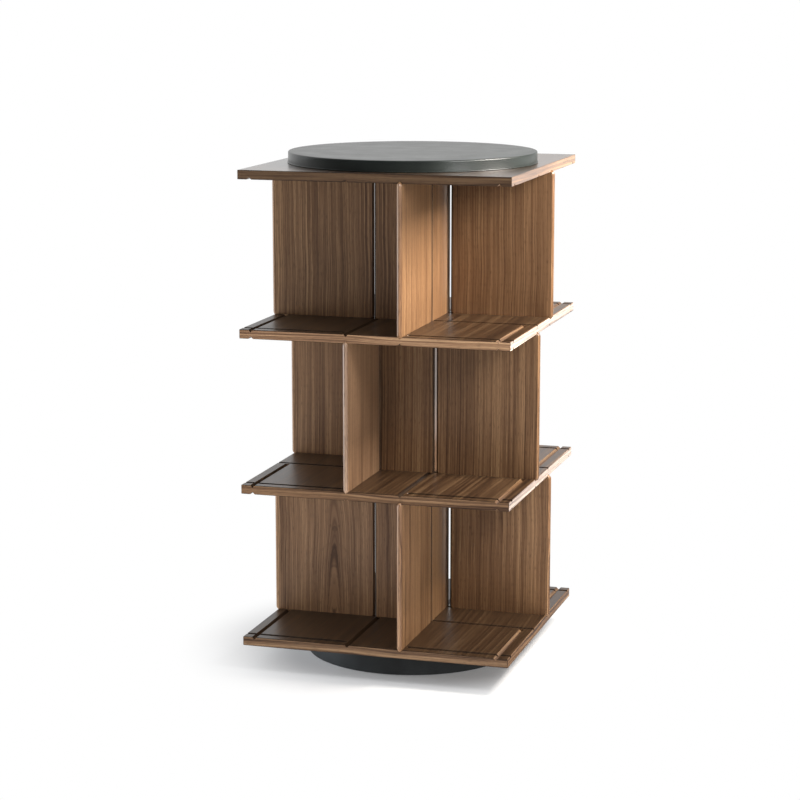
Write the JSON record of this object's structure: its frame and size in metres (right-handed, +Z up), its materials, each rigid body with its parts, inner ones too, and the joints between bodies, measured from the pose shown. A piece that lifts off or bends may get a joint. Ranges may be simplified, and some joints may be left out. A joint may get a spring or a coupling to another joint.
{
  "type": "rotating bookshelf",
  "caption": "Square walnut bookcase with tiers of open pinwheel compartments round a hollow core, a round leather-covered top and a round base on which it turns.",
  "frame": {"origin": "on the floor, on the vertical axis about which the bookcase turns", "axes": "+Z up, -Y towards the front, +X to the right when facing the front"},
  "size_m": [0.615, 0.615, 1.132],
  "materials": {
    "walnut_boards": "satin lacquer",
    "walnut_panels": "satin lacquer",
    "beech": "plain",
    "fibreboard": "raw",
    "grey_leather": "satin",
    "black_leather": "satin",
    "plate_steel": "black paint",
    "felt": "matte",
    "bearing_steel": "ground",
    "zinc_plate": "zinc plated"
  },
  "bodies": {
    "base": {"glides": "felt", "base_plate": "plate_steel", "base_plate_screws": "zinc_plate", "base_drum": "fibreboard", "base_leather": "black_leather", "lower_race": "bearing_steel", "lower_race_screws": "zinc_plate"},
    "ball_ring": {"ball_cage": "zinc_plate", "bearing_balls": "bearing_steel"},
    "carcass": {"upper_race": "bearing_steel", "upper_race_screws": "zinc_plate", "bottom_board": "walnut_boards", "lower_shelf": "walnut_boards", "upper_shelf": "walnut_boards", "top_board": "walnut_boards", "core_wall_lower_front": "walnut_panels", "core_wall_lower_right": "walnut_panels", "core_wall_lower_back": "walnut_panels", "core_wall_lower_left": "walnut_panels", "core_wall_middle_front": "walnut_panels", "core_wall_middle_right": "walnut_panels", "core_wall_middle_back": "walnut_panels", "core_wall_middle_left": "walnut_panels", "core_wall_upper_front": "walnut_panels", "core_wall_upper_right": "walnut_panels", "core_wall_upper_back": "walnut_panels", "core_wall_upper_left": "walnut_panels", "fin_lower_front": "walnut_panels", "fin_lower_right": "walnut_panels", "fin_lower_back": "walnut_panels", "fin_lower_left": "walnut_panels", "fin_middle_front": "walnut_panels", "fin_middle_right": "walnut_panels", "fin_middle_back": "walnut_panels", "fin_middle_left": "walnut_panels", "fin_upper_front": "walnut_panels", "fin_upper_right": "walnut_panels", "fin_upper_back": "walnut_panels", "fin_upper_left": "walnut_panels", "tie_rod": "zinc_plate", "lower_washer": "zinc_plate", "lower_nut": "zinc_plate", "upper_washer": "zinc_plate", "upper_nut": "zinc_plate", "disc_dowels": "beech", "disc_core": "fibreboard", "disc_piping": "grey_leather", "disc_leather_rim": "grey_leather", "disc_leather_top": "grey_leather"}
  },
  "joints": [
    {"name": "turn", "type": "hinge", "parent": "base", "child": "carcass", "pos_m": [0, 0, 0.052], "axis": [0, 0, 1], "continuous": true},
    {"name": "ball_ring_turn", "type": "hinge", "parent": "base", "child": "ball_ring", "pos_m": [0, 0, 0.052], "axis": [0, 0, 1], "continuous": true}
  ],
  "couplings": [
    {"joint": "ball_ring_turn", "follows": "turn", "ratio": 0.5}
  ]
}
